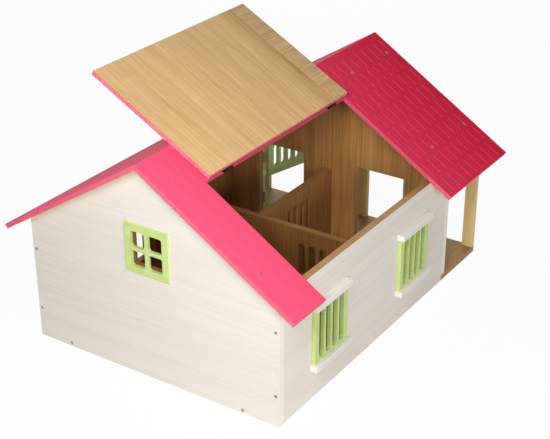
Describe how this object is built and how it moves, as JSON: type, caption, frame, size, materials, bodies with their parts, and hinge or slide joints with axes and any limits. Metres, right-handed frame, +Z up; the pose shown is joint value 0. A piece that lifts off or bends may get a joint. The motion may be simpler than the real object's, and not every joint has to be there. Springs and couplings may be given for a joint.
{
  "type": "toy horse stable",
  "caption": "wooden toy stable with a gabled roof, a hinged roof hatch, a storage room, boxes with half doors, barred windows and a porch on posts",
  "frame": {"origin": "on the ground, under the middle of the roof's outline", "axes": "the porch faces -Y, the ridge runs along Y, the hatch is on the -X slope, Z is up"},
  "size_m": [0.4034, 0.51, 0.3394],
  "materials": {
    "white_boards": "thin white paint on planed board",
    "natural_boards": "bare planed board",
    "pink_boards": "satin pink paint on thin board",
    "green_boards": "satin lime green paint on board",
    "hinge_steel": "dark burnished steel",
    "screw_steel": "plain zinc",
    "door_hinge_steel": "nickel plated"
  },
  "bodies": {
    "house": {"floor_plate": "natural_boards", "rear_gable_wall": "white_boards", "front_gable_wall": "white_boards", "left_side_wall": "white_boards", "right_side_wall": "white_boards", "cross_partition": "natural_boards", "stall_partition": "natural_boards", "left_roof_board": "pink_boards", "right_roof_board": "pink_boards", "porch_gable_board": "white_boards", "left_porch_post": "natural_boards", "middle_porch_post": "natural_boards", "right_porch_post": "natural_boards", "rear_window_frame": "green_boards", "right_rear_window_grille": "green_boards", "right_rear_window_lintel": "white_boards", "right_rear_window_sill": "white_boards", "right_front_window_grille": "green_boards", "right_front_window_lintel": "white_boards", "right_front_window_sill": "white_boards", "left_front_window_grille": "green_boards", "left_front_window_lintel": "white_boards", "left_front_window_sill": "white_boards", "rear_gable_screws": "screw_steel", "front_gable_screws": "screw_steel", "roof_screws": "screw_steel", "hatch_hinge_roof_leaves": "hinge_steel", "hatch_hinge_pins": "hinge_steel", "hatch_hinge_roof_screws": "screw_steel", "door_hinge_frame_leaves": "door_hinge_steel", "door_hinge_pins": "door_hinge_steel", "door_hinge_frame_screws": "screw_steel"},
    "hatch": {"roof_hatch": "pink_boards", "hatch_end_strip": "pink_boards", "hatch_hinge_lid_leaves": "hinge_steel", "hatch_hinge_lid_screws": "screw_steel"},
    "left_upper_door": {"left_upper_door": "green_boards", "left_upper_door_hinge_leaf": "door_hinge_steel", "left_upper_door_hinge_screws": "screw_steel"},
    "left_lower_door": {"left_lower_door": "green_boards", "left_lower_door_hinge_leaf": "door_hinge_steel", "left_lower_door_hinge_screws": "screw_steel"},
    "right_upper_door": {"right_upper_door": "green_boards", "right_upper_door_hinge_leaf": "door_hinge_steel", "right_upper_door_hinge_screws": "screw_steel"},
    "right_lower_door": {"right_lower_door": "green_boards", "right_lower_door_hinge_leaf": "door_hinge_steel", "right_lower_door_hinge_screws": "screw_steel"}
  },
  "joints": [
    {"name": "hatch_hinge", "type": "hinge", "parent": "house", "child": "hatch", "pos_m": [-0.05048, 0, 0.24541], "axis": [0, -1, 0], "range_deg": [0, 183.2]},
    {"name": "left_upper_door_hinge", "type": "hinge", "parent": "house", "child": "left_upper_door", "pos_m": [0.1115, -0.1528, 0.102], "axis": [0, 0, 1], "range_deg": [-75, 100]},
    {"name": "left_lower_door_hinge", "type": "hinge", "parent": "house", "child": "left_lower_door", "pos_m": [0.1115, -0.1528, 0.04125], "axis": [0, 0, 1], "range_deg": [-150, 25]},
    {"name": "right_upper_door_hinge", "type": "hinge", "parent": "house", "child": "right_upper_door", "pos_m": [-0.1115, -0.1528, 0.102], "axis": [0, 0, -1], "range_deg": [-100, 75]},
    {"name": "right_lower_door_hinge", "type": "hinge", "parent": "house", "child": "right_lower_door", "pos_m": [-0.1115, -0.1528, 0.04125], "axis": [0, 0, -1], "range_deg": [-100, 75]}
  ]
}
